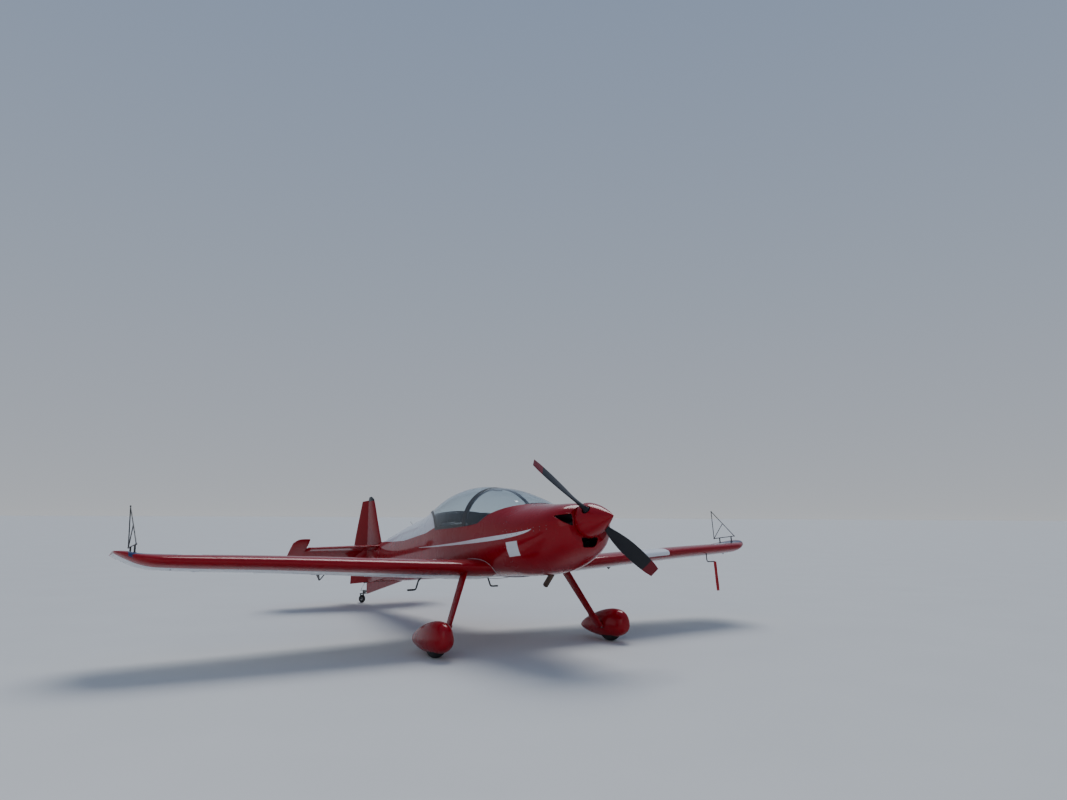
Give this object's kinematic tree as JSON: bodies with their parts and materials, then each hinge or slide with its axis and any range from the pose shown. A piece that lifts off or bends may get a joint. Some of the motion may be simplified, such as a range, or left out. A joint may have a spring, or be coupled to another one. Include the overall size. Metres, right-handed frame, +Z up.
{
  "type": "light aircraft",
  "caption": "Low-wing aerobatic light aircraft on tail-wheel gear, with a sliding bubble canopy, side-by-side seats and working propeller, control surfaces and wheels.",
  "frame": {"origin": "centre of the overall box on the floor that the three wheels stand on", "axes": "+X towards the nose, +Y towards the left wing tip, +Z up"},
  "size_m": [7.121, 8.34, 2.0318],
  "materials": {
    "red_paint": "gloss",
    "white_paint": "gloss",
    "black_paint": "satin",
    "black_blade": "satin",
    "dark_trim": "matte",
    "upholstery": "matte",
    "glass": "polished",
    "tyre": "matte",
    "alloy": "satin",
    "steel": "satin",
    "exhaust": "heat stained",
    "streamer": "matte"
  },
  "bodies": {
    "airframe": {"cowl_upper": "red_paint", "cowl_lower": "red_paint", "firewall": "alloy", "engine_block": "steel", "exhaust_pipe": "exhaust", "cabin_shell": "red_paint", "cabin_floor": "dark_trim", "rear_bulkhead": "dark_trim", "rear_shelf": "dark_trim", "instrument_panel": "dark_trim", "seat_left": "upholstery", "seat_right": "upholstery", "control_stick_left": "black_paint", "control_stick_right": "black_paint", "windscreen": "glass", "windscreen_arch": "black_paint", "canopy_track": "black_paint", "turtledeck": "white_paint", "tail_cone": "red_paint", "antenna": "black_paint", "wing_left": "red_paint", "wing_right": "red_paint", "sight_frame_left": "black_paint", "sight_frame_right": "black_paint", "gear_leg_left": "red_paint", "gear_leg_right": "red_paint", "wheel_pant_left": "red_paint", "wheel_pant_right": "red_paint", "tailplane": "red_paint", "fin": "red_paint", "ventral_fin": "red_paint", "tail_spring": "black_paint", "boarding_step_left": "black_paint", "boarding_step_right": "black_paint", "pitot_tube": "black_paint", "pitot_streamer": "streamer"},
    "propeller": {"spinner": "red_paint", "prop_hub": "alloy", "blade_1": "black_blade", "blade_2": "black_blade"},
    "main_wheel_left": {"tyre_left": "tyre", "wheel_hub_left": "alloy"},
    "main_wheel_right": {"tyre_right": "tyre", "wheel_hub_right": "alloy"},
    "canopy": {"canopy_frame": "black_paint", "canopy_glass": "glass"},
    "aileron_left": {"aileron_left": "red_paint"},
    "aileron_right": {"aileron_right": "red_paint"},
    "push_rod_left": {"aileron_push_rod_left": "black_paint"},
    "push_rod_right": {"aileron_push_rod_right": "black_paint"},
    "elevator": {"elevator_left": "red_paint", "elevator_right": "red_paint", "elevator_torque_tube": "steel"},
    "rudder": {"rudder": "red_paint"},
    "tail_steer": {"tail_fork": "black_paint"},
    "tail_wheel": {"tail_wheel": "tyre"},
    "link_left": {"steering_link_left": "steel"},
    "link_right": {"steering_link_right": "steel"}
  },
  "joints": [
    {"name": "propeller_spin", "type": "hinge", "parent": "airframe", "child": "propeller", "pos_m": [3.26578, 0, 1.44898], "axis": [0.9925, 0, 0.1226], "continuous": true},
    {"name": "main_wheel_left_spin", "type": "hinge", "parent": "airframe", "child": "main_wheel_left", "pos_m": [1.98434, 1.155, 0.17432], "axis": [0, 1, 0], "continuous": true},
    {"name": "main_wheel_right_spin", "type": "hinge", "parent": "airframe", "child": "main_wheel_right", "pos_m": [1.98434, -1.155, 0.17432], "axis": [0, 1, 0], "continuous": true},
    {"name": "canopy_slide", "type": "slide", "parent": "airframe", "child": "canopy", "axis": [-0.9986, 0, -0.053], "range_m": [0, 0.85]},
    {"name": "aileron_left_hinge", "type": "hinge", "parent": "airframe", "child": "aileron_left", "pos_m": [0.7114, 1.108, 0.79713], "axis": [0.0367, 0.9976, 0.0594], "range_deg": [-22, 22]},
    {"name": "aileron_right_hinge", "type": "hinge", "parent": "airframe", "child": "aileron_right", "pos_m": [0.7114, -1.108, 0.79713], "axis": [-0.0367, 0.9976, -0.0594], "range_deg": [-22, 22]},
    {"name": "push_rod_left_slide", "type": "slide", "parent": "airframe", "child": "push_rod_left", "axis": [-0.8838, 0.0601, -0.464], "range_m": [-0.0444, 0.0444]},
    {"name": "push_rod_right_slide", "type": "slide", "parent": "airframe", "child": "push_rod_right", "axis": [-0.8838, -0.0601, -0.464], "range_m": [-0.0444, 0.0444]},
    {"name": "elevator_hinge", "type": "hinge", "parent": "airframe", "child": "elevator", "pos_m": [-3.15545, 0, 0.90086], "axis": [0, 1, 0], "range_deg": [0, 50]},
    {"name": "rudder_hinge", "type": "hinge", "parent": "airframe", "child": "rudder", "pos_m": [-3.19173, 0, 0.36236], "axis": [-0.0398, 0, 0.9992], "range_deg": [-55, 5]},
    {"name": "tail_steer_hinge", "type": "hinge", "parent": "airframe", "child": "tail_steer", "pos_m": [-3.33119, 0, 0.16175], "axis": [-0.1226, 0, 0.9925], "range_deg": [-55, 5]},
    {"name": "tail_wheel_spin", "type": "hinge", "parent": "tail_steer", "child": "tail_wheel", "pos_m": [-3.36489, -0.02113, 0.06489], "axis": [-0.4194, 0.9063, -0.0518], "continuous": true},
    {"name": "link_left_slide", "type": "slide", "parent": "airframe", "child": "link_left", "axis": [0.9925, 0, 0.1226], "range_m": [-0.0056, 0.061]},
    {"name": "link_right_slide", "type": "slide", "parent": "airframe", "child": "link_right", "axis": [0.9925, 0, 0.1226], "range_m": [-0.061, 0.0056]}
  ],
  "couplings": [
    {"joint": "aileron_right_hinge", "follows": "aileron_left_hinge", "ratio": -1},
    {"joint": "push_rod_left_slide", "follows": "aileron_left_hinge", "m_per_rad": 0.11552},
    {"joint": "push_rod_right_slide", "follows": "aileron_left_hinge", "m_per_rad": -0.11552},
    {"joint": "tail_steer_hinge", "follows": "rudder_hinge", "ratio": 1},
    {"joint": "link_left_slide", "follows": "rudder_hinge", "m_per_rad": -0.0634},
    {"joint": "link_right_slide", "follows": "rudder_hinge", "m_per_rad": 0.0634}
  ]
}
